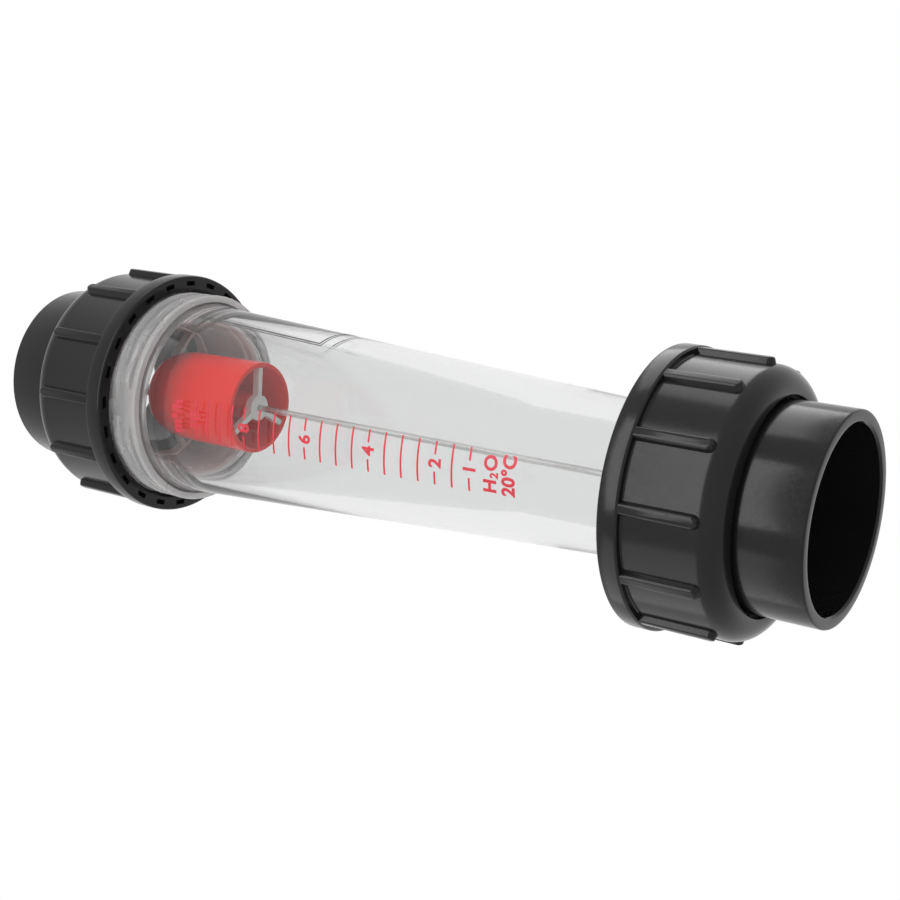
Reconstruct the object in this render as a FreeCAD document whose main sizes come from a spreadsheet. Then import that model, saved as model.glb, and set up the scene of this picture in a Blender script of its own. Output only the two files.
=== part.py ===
"""Plastic tube rotameter for a 63 mm cemented pipe, standing on its inlet end.

A clear tapered tube carries a float on a central rod. Each end of the tube has a
threaded rim, and a ribbed union nut draws a cement socket against it.
Origin: centre of the inlet mouth. +Z runs up the flow axis, and the scale faces -Y.
All sizes are in millimetres.
"""
import FreeCAD, Part
import os
import Sketcher

SIZES = {
    # Cement socket: the end that the pipe is glued into.
    "socket_outer": 36.0,        # radius outside the hub
    "socket_bore": 31.65,        # radius of the bore for a 63 mm pipe
    "socket_depth": 37.5,        # how far the pipe goes in
    "socket_web": 3.0,           # wall that stops the pipe
    "socket_chamfer": 0.6,       # lead-in round the mouth
    "socket_edge": 0.5,          # broken edge outside the mouth
    "flow_bore": 26.5,           # radius of the way through the web
    "flange_outer": 40.2,        # radius of the collar that the nut pulls on
    # Flat gasket in the face of the socket.
    "gasket_inner": 36.9,
    "gasket_width": 2.3,
    "gasket_height": 2.0,
    "gasket_gap": 0.05,          # space left round the gasket
    # Union nut.
    "nut_standoff": 23.0,        # mouth of the socket to the front of the nut
    "nut_length": 41.35,
    "nut_lip": 5.0,              # front wall that bears on the flange
    "nut_hole_gap": 1.2,         # space between the nut and the hub
    "nut_seat_gap": 0.05,        # nut's front wall to the flange
    "nut_cavity_gap": 0.4,       # space round the flange
    "nut_flank": 3.65,           # length of the cone from the flange to the thread
    "nut_thread_gap": 0.4,       # nut's thread to the tube's
    "nut_mouth_chamfer": 0.8,
    "nut_wall": 3.8,             # bore to the barrel between the ribs
    "nut_collar_height": 2.6,    # barrel to the outside of the collar
    "nut_collar_width": 7.4,
    "nut_shoulder": 8.0,         # radius of the rounded shoulder
    "nut_ribs": 12,
    "rib_height": 2.2,           # barrel to the top of a rib
    "rib_width": 5.6,            # width of a rib at its foot
    "rib_draft": 14.0,           # slope of a rib's sides, degrees
    "rib_reach": 1.6,            # how far a rib runs onto the shoulder
    "rib_turn": 2.15,            # ribs' place round the nut, degrees
    "pockets": 24,
    "pocket_inset": 3.3,         # bore to the middle of the pockets
    "pocket_width": 3.6,
    "pocket_height": 1.9,
    "pocket_depth": 2.5,
    # Clear tube.
    "tube_length": 269.5,
    "tube_seat_gap": 0.1,        # tube's end to the face of the socket
    "thread_outer": 42.3,        # radius over the moulded thread
    "thread_root": 40.7,
    "thread_groove": 1.7,
    "inlet_rim": 20.25,          # length of the threaded rim at the inlet
    "outlet_rim": 36.25,
    "rim_flat": 22.6,            # width of the flat that interrupts the thread
    "cone_small": 26.66,         # outside radius where the cone meets the inlet rim
    "cone_large": 38.27,         # and where it meets the outlet rim
    "inlet_root": 3.0,           # radius in the corner above the inlet rim
    "outlet_root": 1.4,          # radius in the corner below the outlet rim
    "throat": 19.4,              # bore radius below the scale
    "throat_top": 74.75,         # end of the tube to the start of the taper
    "throat_bottom": 24.0,       # end of the tube to the foot of the throat
    "bell_length": 12.0,         # length of the flare under the throat
    "bore_wide": 34.1,           # bore radius above the taper
    "taper_length": 145.4,
    "stop_recess": 36.5,         # radius of the recess for a float stop
    "stop_recess_depth": 6.0,
    # Float stops: a ring, three arms and a hub for the rod.
    "stop_gap": 0.1,
    "stop_ring_width": 3.2,
    "stop_arm_width": 3.0,
    "stop_arm_height": 4.9,
    "stop_foot": 1.0,            # end of the tube to the foot of the arms
    "stop_hub": 5.0,
    "arms": 3,                   # on each stop and on the lower bush
    "stop_turn": -30.0,          # place of a stop's arms round the axis, degrees
    "inlet_hub_length": 20.4,
    "outlet_hub_length": 11.4,
    # Rod with a nut and a washer at each end.
    "rod_radius": 1.25,
    "rod_overhang": 3.6,
    "rod_gap": 0.05,             # rod to each hole that it runs in
    "washer_outer": 3.0,
    "washer_height": 0.5,
    "rod_nut_flats": 5.0,
    "rod_nut_height": 2.0,
    # Rubber rings that the float lands on.
    "buffer_outer": 4.5,
    "buffer_height": 3.0,
    "buffer_gap": 0.05,
    # Float.
    "float_gap": 0.3,            # float to the outlet ring at the top of its travel
    "float_outer": 18.5,
    "float_length": 50.0,
    "float_wall": 2.0,
    "float_crown": 4.0,          # thickness of the closed upper end
    "float_edge": 3.0,           # rounding of the upper edge
    "float_boss": 5.5,           # radius of the tube down the middle
    "bush_outer": 3.0,
    "bush_length": 8.0,
    "weight_outer": 9.0,
    "weight_length": 24.0,
    "fit_gap": 0.05,             # between pressed or slipped-on pieces
    "spider_gap": 0.15,          # arms to the wall of the float
    "spider_hub": 5.2,
    "spider_arm_width": 2.2,
    "spider_height": 3.0,
    "spider_setback": 0.6,       # lower edge of the float to the spider
}

doc = FreeCAD.newDocument("Rotameter")
sheet = doc.addObject("Spreadsheet::Sheet", "Sizes")
for row, (alias, value) in enumerate(SIZES.items(), start=1):
    sheet.set(f"A{row}", alias)
    sheet.set(f"B{row}", str(value))
    sheet.setAlias(f"B{row}", alias)
doc.recompute()


class Length:
    """A size as the text of a sheet expression, with its present value."""

    def __init__(self, text, value):
        self.text = text
        self.value = value

    def joined(self, sign, other, value, flipped=False):
        """This length and another, joined by a sign."""
        left, right = (other, self) if flipped else (self, other)
        return Length(f"({text_of(left)} {sign} {text_of(right)})", value)

    def __add__(self, other):
        return self.joined("+", other, self.value + value_of(other))

    def __sub__(self, other):
        return self.joined("-", other, self.value - value_of(other))

    def __rsub__(self, other):
        return self.joined("-", other, value_of(other) - self.value, flipped=True)

    def __mul__(self, other):
        return self.joined("*", other, self.value * value_of(other))

    def __truediv__(self, other):
        return self.joined("/", other, self.value / value_of(other))

    def __neg__(self):
        return Length(f"(-{self.text})", -self.value)


def text_of(item):
    """Text of a length or of a plain number."""
    return item.text if isinstance(item, Length) else str(item)


def value_of(item):
    """Present value of a length or of a plain number."""
    return item.value if isinstance(item, Length) else item


def size(alias):
    """A size from the sheet."""
    return Length(f"Sizes.{alias}", SIZES[alias])


def bind(item, target, length):
    """Tie a property or constraint to a length."""
    item.setExpression(target, text_of(length))


# Places along the axis, measured from the mouth of an end inwards.
FACE = size("socket_depth") + size("socket_web")
TUBE_END = FACE + size("tube_seat_gap")
NUT_SEAT = size("nut_standoff") + size("nut_lip")
NUT_MOUTH = size("nut_standoff") + size("nut_length")
COLLAR_BACK = NUT_MOUTH - size("nut_collar_width")
NUT_BORE = size("thread_outer") + size("nut_thread_gap")
NUT_BARREL = NUT_BORE + size("nut_wall")
NUT_COLLAR = NUT_BARREL + size("nut_collar_height")
ARM_FOOT = TUBE_END + size("stop_foot")
ROD_HOLE = size("rod_radius") + size("rod_gap")
# The whole length, and the place of the float at the top of its travel.
LENGTH = size("tube_length") + TUBE_END * 2
OUTLET_STOP_TOP = ARM_FOOT + size("outlet_hub_length")
OUTLET_BUFFER_TOP = OUTLET_STOP_TOP + size("buffer_gap") * 2 + size("buffer_height")
FLOAT_TOP = LENGTH - OUTLET_BUFFER_TOP - size("float_gap")
FLOAT_FOOT = FLOAT_TOP - size("float_length")


def new_body(label):
    """Empty body whose label names the piece."""
    body = doc.addObject("PartDesign::Body", label)
    body.Label = label
    return body


def origin_feature(body, role):
    """One of the body's own origin planes or axes."""
    return next(f for f in body.Origin.OriginFeatures if f.Role == role)


def new_sketch(body, name, role, offset=0, turn=0):
    """Sketch on one of the body's origin planes, lifted off it and turned on it."""
    sketch = body.newObject("Sketcher::SketchObject", f"{body.Name}_{name}")
    sketch.AttachmentSupport = [(origin_feature(body, role), "")]
    sketch.MapMode = "FlatFace"
    lift = FreeCAD.Vector(0, 0, value_of(offset))
    sketch.AttachmentOffset = FreeCAD.Placement(
        lift, FreeCAD.Rotation(FreeCAD.Vector(0, 0, 1), turn))
    if isinstance(offset, Length):
        bind(sketch, "AttachmentOffset.Base.z", offset)
    return sketch


def fix_point(sketch, geometry, end, across, along):
    """Hold a point at one or two distances from the sketch's origin."""
    for kind, axis, length in (("DistanceX", -2, across), ("DistanceY", -1, along)):
        if length is None:
            continue
        if isinstance(length, Length):
            index = sketch.addConstraint(
                Sketcher.Constraint(kind, -1, 1, geometry, end, length.value))
            bind(sketch, f"Constraints[{index}]", length)
        elif length == 0:
            sketch.addConstraint(Sketcher.Constraint("PointOnObject", geometry, end, axis))
        else:
            sketch.addConstraint(Sketcher.Constraint(kind, -1, 1, geometry, end, length))


def draw_outline(sketch, corners):
    """Closed outline of straight lines; each corner is a pair of lengths."""
    points = [FreeCAD.Vector(value_of(x), value_of(y), 0) for x, y in corners]
    count = len(points)
    lines = [Part.LineSegment(points[i], points[(i + 1) % count]) for i in range(count)]
    sketch.addGeometry(lines, False)
    for i in range(count):
        sketch.addConstraint(Sketcher.Constraint("Coincident", i, 2, (i + 1) % count, 1))
    for i, (across, along) in enumerate(corners):
        fix_point(sketch, i, 1, across, along)


def check_cut(body, feature, before):
    """Stop if a cut took nothing away."""
    doc.recompute()
    if feature.Shape.isNull() or feature.Shape.Volume > before - 1e-3:
        raise RuntimeError(f"{feature.Name} removed nothing")


def revolve(body, name, corners, cut=False):
    """Solid of revolution, or a turned cut, about the body's Z axis."""
    before = body.Shape.Volume if cut else 0.0
    sketch = new_sketch(body, f"{name}_outline", "XZ_Plane")
    draw_outline(sketch, corners)
    kind = "PartDesign::Groove" if cut else "PartDesign::Revolution"
    feature = body.newObject(kind, f"{body.Name}_{name}")
    feature.Profile = sketch
    feature.ReferenceAxis = (sketch, ["V_Axis"])
    feature.Angle = 360
    if cut:
        check_cut(body, feature, before)
    doc.recompute()
    return feature


def ring(body, name, inner, outer, low, high, cut=False):
    """Plain ring or disc between two radii and two heights."""
    corners = [(inner, low), (outer, low), (outer, high), (inner, high)]
    return revolve(body, name, corners, cut)


def round_edges(body, base, name, radius, chosen):
    """Fillet on the round edges that `chosen` picks."""
    picked = []
    for index, edge in enumerate(base.Shape.Edges, start=1):
        if isinstance(edge.Curve, Part.Circle) and chosen(edge.Curve):
            picked.append(f"Edge{index}")
    if not picked:
        raise RuntimeError(f"{name} found no edge")
    fillet = body.newObject("PartDesign::Fillet", f"{body.Name}_{name}")
    fillet.Base = (base, picked)
    bind(fillet, "Radius", radius)
    doc.recompute()
    return fillet


def repeat(body, feature, name, count):
    """Polar pattern of a feature about Z."""
    pattern = body.newObject("PartDesign::PolarPattern", f"{body.Name}_{name}")
    pattern.Originals = [feature]
    pattern.Axis = (origin_feature(body, "Z_Axis"), [""])
    pattern.Angle = 360
    bind(pattern, "Occurrences", count)
    body.Tip = pattern
    doc.recompute()
    return pattern


def place_at_end(body, end, turn=0):
    """Put a piece drawn from an end's mouth inwards at its end, turned about the axis."""
    turned = FreeCAD.Rotation(FreeCAD.Vector(0, 0, 1), turn)
    if end == "outlet":
        turned = turned.multiply(FreeCAD.Rotation(FreeCAD.Vector(1, 0, 0), 180))
    body.Placement = FreeCAD.Placement(FreeCAD.Vector(0, 0, 0), turned)
    if end == "outlet":
        bind(body, "Placement.Base.z", LENGTH)


def make_socket(end):
    """Cement socket with its flange and the groove for the gasket."""
    body = new_body(f"{end}_socket")
    bore, outer, depth = size("socket_bore"), size("socket_outer"), size("socket_depth")
    chamfer, edge = size("socket_chamfer"), size("socket_edge")
    flange_back = NUT_SEAT + size("nut_seat_gap")
    revolve(body, "turned", [
        (bore + chamfer, 0),
        (outer - edge, 0),
        (outer, edge),
        (outer, flange_back),
        (size("flange_outer"), flange_back),
        (size("flange_outer"), FACE),
        (size("flow_bore"), FACE),
        (size("flow_bore"), depth),
        (bore, depth),
        (bore, chamfer),
    ])
    gap = size("gasket_gap")
    inner = size("gasket_inner")
    ring(body, "gasket_groove", inner - gap, inner + size("gasket_width") + gap,
         FACE - size("gasket_height"), FACE + 1, cut=True)
    place_at_end(body, end)


def make_gasket(end):
    """Flat rubber ring in the groove of the socket."""
    body = new_body(f"{end}_gasket")
    inner = size("gasket_inner")
    low = FACE - size("gasket_height") + size("gasket_gap")
    ring(body, "ring", inner, inner + size("gasket_width"), low, low + size("gasket_height"))
    place_at_end(body, end)


def add_nut_ribs(body):
    """Round-ended ribs with sloping sides, from the collar to the shoulder."""
    foot = NUT_BARREL - 1
    half = size("rib_width") / 2
    high = COLLAR_BACK + 1
    low = size("nut_standoff") + size("nut_shoulder") - size("rib_reach") + half
    sketch = new_sketch(body, "rib_outline", "YZ_Plane", foot)
    width, top, bottom = half.value, high.value, low.value
    left_top, right_top = FreeCAD.Vector(-width, top, 0), FreeCAD.Vector(width, top, 0)
    left, right = FreeCAD.Vector(-width, bottom, 0), FreeCAD.Vector(width, bottom, 0)
    tip = FreeCAD.Vector(0, bottom - width, 0)
    sketch.addGeometry([
        Part.LineSegment(right, right_top),
        Part.LineSegment(right_top, left_top),
        Part.LineSegment(left_top, left),
        Part.Arc(left, tip, right),
    ], False)
    for line in range(4):
        sketch.addConstraint(Sketcher.Constraint("Coincident", line, 2, (line + 1) % 4, 1))
    fix_point(sketch, 0, 2, half, high)
    fix_point(sketch, 1, 2, -half, high)
    fix_point(sketch, 0, 1, half, low)
    fix_point(sketch, 2, 2, None, low)
    fix_point(sketch, 3, 3, 0, low)
    rib = body.newObject("PartDesign::Pad", f"{body.Name}_rib")
    rib.Profile = sketch
    bind(rib, "Length", size("rib_height") + 1)
    bind(rib, "TaperAngle", -size("rib_draft"))
    doc.recompute()
    repeat(body, rib, "ribs", size("nut_ribs"))


def add_nut_pockets(body):
    """Ring of small pockets in the face of the collar."""
    sketch = new_sketch(body, "pocket_outline", "XY_Plane", NUT_MOUTH)
    circle = NUT_BORE + size("pocket_inset")
    near, far = circle - size("pocket_height") / 2, circle + size("pocket_height") / 2
    half = size("pocket_width") / 2
    draw_outline(sketch, [(near, -half), (far, -half), (far, half), (near, half)])
    before = body.Shape.Volume
    pocket = body.newObject("PartDesign::Pocket", f"{body.Name}_pocket")
    pocket.Profile = sketch
    bind(pocket, "Length", size("pocket_depth"))
    check_cut(body, pocket, before)
    repeat(body, pocket, "pocket_ring", size("pockets"))


def make_union_nut(end):
    """Ribbed nut: collar, barrel, round shoulder and a plain bore for the thread."""
    body = new_body(f"{end}_union_nut")
    front = size("nut_standoff")
    blank = revolve(body, "blank", [
        (0, front),
        (NUT_BARREL, front),
        (NUT_BARREL, COLLAR_BACK),
        (NUT_COLLAR, COLLAR_BACK),
        (NUT_COLLAR, NUT_MOUTH),
        (0, NUT_MOUTH),
    ])
    round_edges(body, blank, "shoulder", size("nut_shoulder"),
                lambda circle: abs(circle.Center.z - front.value) < 1e-4)
    add_nut_ribs(body)
    hole = size("socket_outer") + size("nut_hole_gap")
    mouth = NUT_BORE + size("nut_mouth_chamfer")
    revolve(body, "bore", [
        (0, front - 1),
        (hole, front - 1),
        (hole, NUT_SEAT),
        (size("flange_outer") + size("nut_cavity_gap"), NUT_SEAT),
        (NUT_BORE, NUT_SEAT + size("nut_flank")),
        (NUT_BORE, NUT_MOUTH - size("nut_mouth_chamfer")),
        (mouth, NUT_MOUTH),
        (mouth, NUT_MOUTH + 1),
        (0, NUT_MOUTH + 1),
    ], cut=True)
    add_nut_pockets(body)
    place_at_end(body, end, SIZES["rib_turn"])


def flatten_rim(body, name, low, high):
    """Cut the flat that interrupts the thread on the side of the scale."""
    rim, flat = size("thread_outer"), size("rim_flat")
    depth = Length(f"sqrt(pow({rim.text}; 2) - pow({flat.text} / 2; 2))",
                   (rim.value ** 2 - flat.value ** 2 / 4) ** 0.5)
    sketch = new_sketch(body, f"{name}_outline", "XY_Plane", low)
    draw_outline(sketch, [(-rim, -rim - 1), (rim, -rim - 1), (rim, -depth), (-rim, -depth)])
    before = body.Shape.Volume
    pocket = body.newObject("PartDesign::Pocket", f"{body.Name}_{name}")
    pocket.Profile = sketch
    pocket.Reversed = True
    bind(pocket, "Length", high - low)
    check_cut(body, pocket, before)


def make_measuring_tube():
    """Clear tube: cone outside, tapered bore inside and a threaded rim at each end."""
    body = new_body("measuring_tube")
    base, top = TUBE_END, TUBE_END + size("tube_length")
    rim = size("thread_outer")
    inlet_rim, outlet_rim = base + size("inlet_rim"), top - size("outlet_rim")
    small, large = size("cone_small"), size("cone_large")
    outside = revolve(body, "outside", [
        (0, base),
        (rim, base),
        (rim, inlet_rim),
        (small, inlet_rim),
        (large, outlet_rim),
        (rim, outlet_rim),
        (rim, top),
        (0, top),
    ])
    lower = round_edges(body, outside, "inlet_corner", size("inlet_root"),
                        lambda circle: abs(circle.Radius - small.value) < 1e-4)
    round_edges(body, lower, "outlet_corner", size("outlet_root"),
                lambda circle: abs(circle.Radius - large.value) < 1e-4)
    recess, depth = size("stop_recess"), size("stop_recess_depth")
    wide, throat = size("bore_wide"), size("throat")
    throat_foot, throat_top = base + size("throat_bottom"), base + size("throat_top")
    revolve(body, "bore", [
        (0, base - 1),
        (recess, base - 1),
        (recess, base + depth),
        (wide, base + depth),
        (wide, throat_foot - size("bell_length")),
        (throat, throat_foot),
        (throat, throat_top),
        (wide, throat_top + size("taper_length")),
        (wide, top - depth),
        (recess, top - depth),
        (recess, top + 1),
        (0, top + 1),
    ], cut=True)
    groove = outlet_rim + size("outlet_root") + size("thread_groove") / 2
    groove_top = groove + size("thread_groove")
    ring(body, "thread_groove", size("thread_root"), rim + 1, groove, groove_top, cut=True)
    flatten_rim(body, "inlet_flat", base, inlet_rim)
    flatten_rim(body, "outlet_flat", groove_top, top)


def add_arms(body, length, width, low, high, turn):
    """Three flat arms from the axis outwards, as one padded arm repeated."""
    sketch = new_sketch(body, "arm_outline", "XY_Plane", low, turn)
    half = width / 2
    draw_outline(sketch, [(0, -half), (length, -half), (length, half), (0, half)])
    arm = body.newObject("PartDesign::Pad", f"{body.Name}_arm")
    arm.Profile = sketch
    bind(arm, "Length", high - low)
    doc.recompute()
    repeat(body, arm, "arms", size("arms"))


def make_stop(end, hub_length):
    """Float stop: a ring in the end of the tube, three arms and a hub for the rod."""
    body = new_body(f"{end}_stop")
    outer = size("stop_recess") - size("stop_gap")
    inner = outer - size("stop_ring_width")
    ring(body, "rim", inner, outer, TUBE_END,
         TUBE_END + size("stop_recess_depth") - size("stop_gap"))
    add_arms(body, inner + size("stop_ring_width") / 2, size("stop_arm_width"),
             ARM_FOOT, ARM_FOOT + size("stop_arm_height"), SIZES["stop_turn"])
    ring(body, "hub", 0, size("stop_hub"), ARM_FOOT, ARM_FOOT + hub_length)
    ring(body, "rod_hole", 0, ROD_HOLE, ARM_FOOT - 1, ARM_FOOT + hub_length + 1, cut=True)
    place_at_end(body, end)


def make_buffer(end, hub_length):
    """Rubber ring on the rod that the float lands on."""
    body = new_body(f"{end}_buffer")
    low = ARM_FOOT + hub_length + size("buffer_gap")
    ring(body, "ring", ROD_HOLE, size("buffer_outer"), low, low + size("buffer_height"))
    place_at_end(body, end)


def make_rod():
    """Guide rod through both stops and the float."""
    rod = doc.addObject("Part::Cylinder", "guide_rod")
    rod.Label = "guide_rod"
    foot = ARM_FOOT - size("rod_overhang")
    bind(rod, "Radius", size("rod_radius"))
    bind(rod, "Height", LENGTH - foot * 2)
    bind(rod, "Placement.Base.z", foot)


def both_ends(label, solid):
    """One node that holds a like piece at each end."""
    flip = FreeCAD.Placement(FreeCAD.Vector(0, 0, LENGTH.value),
                             FreeCAD.Rotation(FreeCAD.Vector(1, 0, 0), 180))
    other = solid.copy()
    other.Placement = flip.multiply(other.Placement)
    group = doc.addObject("Part::Feature", label)
    group.Label = label
    group.Shape = Part.makeCompound([solid, other])


def make_washers():
    """Flat washer between each rod nut and its hub."""
    height = SIZES["washer_height"]
    disc = Part.makeCylinder(SIZES["washer_outer"], height)
    washer = disc.cut(Part.makeCylinder(ROD_HOLE.value, height))
    washer.translate(FreeCAD.Vector(0, 0, ARM_FOOT.value - height))
    both_ends("rod_washers", washer)


def make_rod_nuts():
    """Hexagon nut on each end of the rod."""
    height = SIZES["rod_nut_height"]
    corner = FreeCAD.Vector(SIZES["rod_nut_flats"] / 3 ** 0.5, 0, 0)
    upright = FreeCAD.Vector(0, 0, 1)
    hexagon = [FreeCAD.Rotation(upright, 60 * i).multVec(corner) for i in range(7)]
    block = Part.Face(Part.makePolygon(hexagon)).extrude(upright * height)
    nut = block.cut(Part.makeCylinder(ROD_HOLE.value, height))
    nut.translate(upright * (ARM_FOOT.value - SIZES["washer_height"] - height))
    both_ends("rod_nuts", nut)


def make_float():
    """Red cup, open below, with a round upper edge and a tube down the middle."""
    body = new_body("float_shell")
    top, outer = size("float_length"), size("float_outer")
    blank = ring(body, "blank", 0, outer, 0, top)
    round_edges(body, blank, "upper_edge", size("float_edge"),
                lambda circle: abs(circle.Center.z - top.value) < 1e-4)
    inner, boss = outer - size("float_wall"), size("float_boss")
    boss_foot = size("spider_setback") + size("spider_height") + size("fit_gap")
    ceiling = top - size("float_crown")
    revolve(body, "hollow", [
        (0, -1), (inner, -1), (inner, ceiling), (boss, ceiling),
        (boss, boss_foot), (0, boss_foot),
    ], cut=True)
    ring(body, "bush_bore", 0, size("bush_outer") + size("fit_gap"), -2, top + 1, cut=True)
    bind(body, "Placement.Base.z", FLOAT_FOOT)


def make_upper_bush():
    """Bush that runs on the rod, in the crown of the float."""
    body = new_body("upper_bush")
    top = size("float_length")
    ring(body, "sleeve", ROD_HOLE, size("bush_outer"), top - size("bush_length"), top)
    bind(body, "Placement.Base.z", FLOAT_FOOT)


def make_weight():
    """Steel ballast sleeve on the middle tube, against the crown."""
    body = new_body("float_weight")
    high = size("float_length") - size("float_crown") - size("fit_gap")
    ring(body, "sleeve", size("float_boss") + size("fit_gap"), size("weight_outer"),
         high - size("weight_length"), high)
    bind(body, "Placement.Base.z", FLOAT_FOOT)


def make_spider():
    """Three-armed lower bush, pressed into the open end of the float."""
    body = new_body("float_spider")
    low = size("spider_setback")
    high = low + size("spider_height")
    ring(body, "hub", 0, size("spider_hub"), low, high)
    reach = size("float_outer") - size("float_wall") - size("spider_gap")
    add_arms(body, reach, size("spider_arm_width"), low, high, 0)
    ring(body, "rod_hole", 0, ROD_HOLE, low - 1, high + 1, cut=True)
    bind(body, "Placement.Base.z", FLOAT_FOOT)


def is_piece(item):
    """True for an object that is one of the rotameter's pieces."""
    return item.TypeId in ("PartDesign::Body", "Part::Cylinder", "Part::Feature")


for side in ("inlet", "outlet"):
    make_socket(side)
    make_gasket(side)
    make_union_nut(side)
    make_stop(side, size(f"{side}_hub_length"))
    make_buffer(side, size(f"{side}_hub_length"))
make_measuring_tube()
make_rod()
make_washers()
make_rod_nuts()
make_float()
make_upper_bush()
make_weight()
make_spider()
doc.recompute()

for item in doc.Objects:
    if {"Invalid", "Error"} & set(item.State):
        raise RuntimeError(f"{item.Name} failed: {item.State}")
pieces = [item for item in doc.Objects if is_piece(item)]
for piece in pieces:
    if piece.Shape.isNull() or not piece.Shape.isValid():
        raise RuntimeError(f"{piece.Label} has no valid shape")

os.makedirs("parts", exist_ok=True)
for piece in pieces:
    piece.Shape.exportStep(f"parts/{piece.Label}.step")
    print(piece.Label, len(piece.Shape.Solids), round(piece.Shape.Volume, 1))
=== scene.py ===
"""Rotameter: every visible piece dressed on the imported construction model.

Metres throughout, in the row frame: origin at the centre of the inlet mouth,
+Z up the flow axis, scale facing -Y. End pieces are shaped as the inlet's, from its
mouth upwards, and turned over for the outlet.
"""
import math

import bmesh
import bpy
from mathutils import Matrix, Vector


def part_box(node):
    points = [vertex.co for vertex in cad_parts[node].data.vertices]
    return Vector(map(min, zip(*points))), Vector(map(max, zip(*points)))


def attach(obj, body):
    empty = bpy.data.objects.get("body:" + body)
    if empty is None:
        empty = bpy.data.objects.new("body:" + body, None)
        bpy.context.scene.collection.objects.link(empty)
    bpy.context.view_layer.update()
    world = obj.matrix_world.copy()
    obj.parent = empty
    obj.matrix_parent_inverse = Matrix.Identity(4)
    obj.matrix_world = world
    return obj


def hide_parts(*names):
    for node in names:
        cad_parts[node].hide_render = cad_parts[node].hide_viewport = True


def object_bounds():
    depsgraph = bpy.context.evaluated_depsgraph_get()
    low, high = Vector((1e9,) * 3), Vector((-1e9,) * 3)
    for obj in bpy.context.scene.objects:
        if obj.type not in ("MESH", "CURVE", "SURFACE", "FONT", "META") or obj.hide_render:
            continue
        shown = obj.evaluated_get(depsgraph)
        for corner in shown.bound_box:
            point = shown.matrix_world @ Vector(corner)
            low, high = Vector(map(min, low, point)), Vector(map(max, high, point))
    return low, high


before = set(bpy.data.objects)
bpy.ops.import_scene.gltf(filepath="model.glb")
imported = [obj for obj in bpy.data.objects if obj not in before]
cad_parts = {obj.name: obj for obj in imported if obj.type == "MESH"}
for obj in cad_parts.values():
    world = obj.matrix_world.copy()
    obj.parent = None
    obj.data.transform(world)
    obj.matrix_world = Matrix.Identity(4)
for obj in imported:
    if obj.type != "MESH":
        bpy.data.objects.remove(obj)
CAD_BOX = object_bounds()

bl_info = {
    "name": "Rotameter",
    "version": (1, 0, 0),
    "blender": (4, 5, 0),
    "location": "3D View > Sidebar > Rotameter",
    "description": "Dresses a plastic tube rotameter piece by piece",
    "category": "Object",
}

MM = 0.001
TINY = 1e-6                     # how close two heights count as one
SHARP_ANGLE = 32                # degrees past which an edge is not shaded smooth
LENGTH = CAD_BOX[1].z
TUBE_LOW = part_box("measuring_tube")[0].z
TUBE_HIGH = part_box("measuring_tube")[1].z
FLOAT_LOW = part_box("float_shell")[0].z
FLOAT_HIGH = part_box("float_shell")[1].z
# Places of an end piece, measured from the mouth of its socket.
SOCKET_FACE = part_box("inlet_socket")[1].z
NUT_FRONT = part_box("inlet_union_nut")[0].z
NUT_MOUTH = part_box("inlet_union_nut")[1].z
FLANGE_BACK = NUT_FRONT + 5.05 * MM
NUT_LIP = NUT_FRONT + 5 * MM    # back of the wall that bears on the flange
NUT_CONE = NUT_FRONT + 8.65 * MM
# Groove for the gasket, in the socket's face.
GROOVE_INNER, GROOVE_OUTER = 36.85 * MM, 39.25 * MM
GROOVE_DEPTH = 2 * MM
# Ribs and pockets of a nut.
RIBS = 12
RIB_DRAFT = 14                  # slope of a rib's sides, degrees
RIB_REACH = 1.6 * MM            # how far a rib runs onto the shoulder
NUT_TURN = 2.15                 # ribs' place round the nut, degrees
POCKET_INNER, POCKET_OUTER = 45.05 * MM, 46.95 * MM
POCKET_STEP = 15                # degrees from one pocket to the next
POCKET_REACH = 2.3              # degrees from a pocket's middle to its side
# Clear tube: its rims, the bore's steps and the flat that interrupts the thread.
INLET_RIM, OUTLET_RIM = TUBE_LOW + 20.25 * MM, TUBE_HIGH - 36.25 * MM
THROAT_TOP = TUBE_LOW + 74.75 * MM
THROAT_FOOT = TUBE_LOW + 24 * MM
FLARE_FOOT = TUBE_LOW + 12 * MM
TAPER_LENGTH = 145.4 * MM
STOP_RECESS = 36.5 * MM         # radius of the recess for a float stop
RECESS_DEPTH = 6 * MM
THREAD_ZONE = 41 * MM           # only a rim reaches past this radius
THREAD_SLICE = 0.5 * MM         # height of the rings that a thread is rolled into
THREAD_END = 1.5 * MM           # plain end of a threaded rim
THREAD_START = 0.6 * MM         # groove to the foot of the outlet's thread
FLAT_RADIUS, FLAT_HALF = 42.3 * MM, 11.3 * MM
DULL_RADIUS = 38 * MM           # outside of the inlet rim
# Float.
FLOAT_CROWN = 4 * MM            # thickness of the closed upper end
FLOAT_BORE = 3.05 * MM
BOSS_RADIUS = 5.5 * MM
BOSS_SETBACK = 3.65 * MM        # mouth of the cup to the foot of the boss
FLOAT_STEPS = 160
# Print: clearance from the cone, and the font's capitals as a share of its size.
PRINT_GAP = 0.01 * MM
CAPITALS = 0.72
NUMBERED = (1, 2, 4, 6, 8, 10)
MARK_HALF, FIGURE_GAP = 7.85 * MM, 3.1 * MM
FIGURE_STROKE, WORD_STROKE, SMALL_STROKE = 0.22 * MM, 0.25 * MM, 0.16 * MM
LABEL_LOW, LABEL_HIGH, LABEL_HALF = 205 * MM, 267 * MM, 14.5 * MM
LABEL_LINES = ((0, 0.45 * MM), (1.2 * MM, 0.7 * MM))    # inset and width of each
SCALE_SIDE, LABEL_SIDE = -90, 0                         # degrees round the tube
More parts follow.
